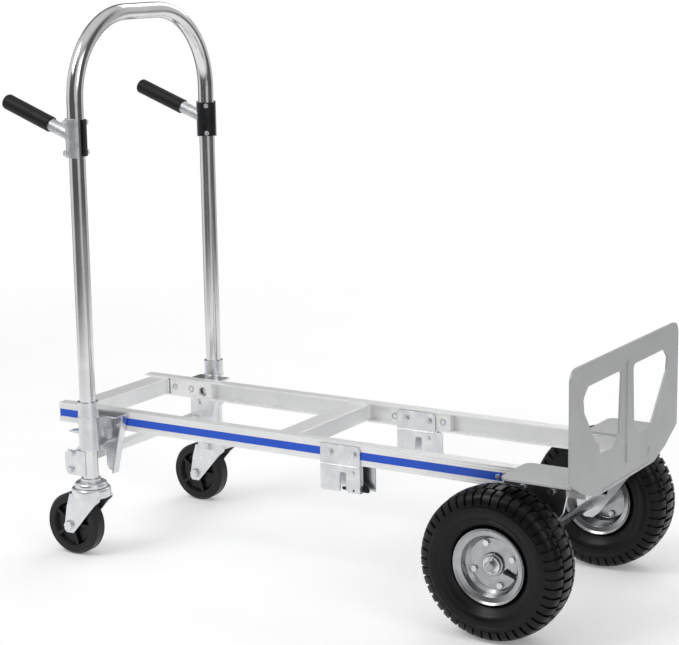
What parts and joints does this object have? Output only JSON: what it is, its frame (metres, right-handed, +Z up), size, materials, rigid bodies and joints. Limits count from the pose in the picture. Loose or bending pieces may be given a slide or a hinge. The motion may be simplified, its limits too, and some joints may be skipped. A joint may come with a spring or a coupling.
{
  "type": "convertible hand truck",
  "caption": "Aluminium hand truck folded out as a platform cart: ladder frame on two pneumatic wheels and two swivel casters, nose plate, sliding loop handle with side grips.",
  "frame": {"origin": "on the floor under the middle of the truck's overall box", "axes": "+X along the rails towards the nose plate, +Y to the left across the truck, +Z up"},
  "size_m": [1.1608, 0.5204, 1.025],
  "materials": {
    "rail_aluminium": "satin anodised extrusion",
    "polished_aluminium": "polished tube",
    "cast_aluminium": "rough cast",
    "zinc_steel": "bright zinc plated",
    "nose_paint": "satin grey powder coat",
    "rim_steel": "satin silver lacquer",
    "blue_trim": "glossy blue strip",
    "nylon": "white moulded nylon",
    "tyre_rubber": "black moulded rubber",
    "tube_rubber": "black butyl rubber",
    "grip_rubber": "matt black rubber",
    "caster_tread": "black moulded wheel",
    "black_steel": "black coated clamp half"
  },
  "bodies": {
    "chassis": {"right_rail": "rail_aluminium", "left_rail": "rail_aluminium", "stripes": "blue_trim", "end_crossmember": "rail_aluminium", "mid_crossmember": "rail_aluminium", "toe_crossmember": "rail_aluminium", "end_inserts": "nylon", "mid_inserts": "nylon", "insert_screws": "zinc_steel", "frame_screws": "zinc_steel", "nose_plate": "nose_paint", "latch_outer_plates": "zinc_steel", "right_latch_inner_plate": "zinc_steel", "left_latch_inner_plate": "zinc_steel", "latch_pins": "zinc_steel", "latch_springs": "zinc_steel", "latch_bolts": "zinc_steel", "right_axle_bracket": "zinc_steel", "left_axle_bracket": "zinc_steel", "axle_bracket_bolts": "zinc_steel", "axle": "zinc_steel", "axle_spacers": "zinc_steel", "axle_washers": "zinc_steel", "cotter_pins": "zinc_steel", "pivot_bolts": "zinc_steel"},
    "right_hinge": {"right_hinge_sleeve": "zinc_steel"},
    "left_hinge": {"left_hinge_sleeve": "zinc_steel"},
    "handle": {"handle_loop": "polished_aluminium", "right_grip_mount": "cast_aluminium", "left_grip_mount": "cast_aluminium", "right_grip": "grip_rubber", "left_grip": "grip_rubber", "clamp_caps": "black_steel", "clamp_bolts": "zinc_steel", "cross_brace": "rail_aluminium", "right_brace_bracket": "zinc_steel", "left_brace_bracket": "zinc_steel", "brace_bolts": "zinc_steel", "right_caster_head": "zinc_steel", "left_caster_head": "zinc_steel"},
    "right_latch": {"right_latch_hook": "zinc_steel"},
    "right_caster": {"right_caster_fork": "zinc_steel", "right_caster_axle": "zinc_steel"},
    "right_caster_roller": {"right_caster_wheel": "caster_tread"},
    "right_wheel": {"right_tyre": "tyre_rubber", "right_inner_tube": "tube_rubber", "right_outer_rim": "rim_steel", "right_inner_rim": "rim_steel", "right_wheel_bearings": "zinc_steel", "right_rim_bolts": "zinc_steel"},
    "left_latch": {"left_latch_hook": "zinc_steel"},
    "left_caster": {"left_caster_fork": "zinc_steel", "left_caster_axle": "zinc_steel"},
    "left_caster_roller": {"left_caster_wheel": "caster_tread"},
    "left_wheel": {"left_tyre": "tyre_rubber", "left_inner_tube": "tube_rubber", "left_outer_rim": "rim_steel", "left_inner_rim": "rim_steel", "left_wheel_bearings": "zinc_steel", "left_rim_bolts": "zinc_steel"}
  },
  "joints": [
    {"name": "handle_tilt", "type": "hinge", "parent": "chassis", "child": "right_hinge", "pos_m": [-0.38856, -0.15, 0.25], "axis": [0, -1, 0], "range_deg": [0, 90]},
    {"name": "left_hinge_tilt", "type": "hinge", "parent": "chassis", "child": "left_hinge", "pos_m": [-0.38856, 0.15, 0.25], "axis": [0, -1, 0], "range_deg": [0, 90]},
    {"name": "handle_slide", "type": "slide", "parent": "right_hinge", "child": "handle", "axis": [0, 0, -1], "range_m": [0, 0.4335]},
    {"name": "right_wheel_spin", "type": "hinge", "parent": "chassis", "child": "right_wheel", "pos_m": [0.44444, -0.216, 0.13], "axis": [0, 1, 0], "continuous": true},
    {"name": "right_caster_swivel", "type": "hinge", "parent": "handle", "child": "right_caster", "pos_m": [-0.41456, -0.2025, 0.12], "axis": [0, 0, -1], "continuous": true},
    {"name": "right_caster_spin", "type": "hinge", "parent": "right_caster", "child": "right_caster_roller", "pos_m": [-0.45356, -0.2025, 0.059], "axis": [0, 1, 0], "continuous": true},
    {"name": "right_latch_release", "type": "hinge", "parent": "chassis", "child": "right_latch", "pos_m": [0.12794, -0.136, 0.219], "axis": [0, -1, 0], "range_deg": [0, 45]},
    {"name": "left_wheel_spin", "type": "hinge", "parent": "chassis", "child": "left_wheel", "pos_m": [0.44444, 0.216, 0.13], "axis": [0, 1, 0], "continuous": true},
    {"name": "left_caster_swivel", "type": "hinge", "parent": "handle", "child": "left_caster", "pos_m": [-0.41456, 0.2025, 0.12], "axis": [0, 0, 1], "continuous": true},
    {"name": "left_caster_spin", "type": "hinge", "parent": "left_caster", "child": "left_caster_roller", "pos_m": [-0.45356, 0.2025, 0.059], "axis": [0, 1, 0], "continuous": true},
    {"name": "left_latch_release", "type": "hinge", "parent": "chassis", "child": "left_latch", "pos_m": [0.12794, 0.136, 0.219], "axis": [0, -1, 0], "range_deg": [0, 45]}
  ],
  "couplings": [
    {"joint": "left_hinge_tilt", "follows": "handle_tilt", "ratio": 1}
  ]
}
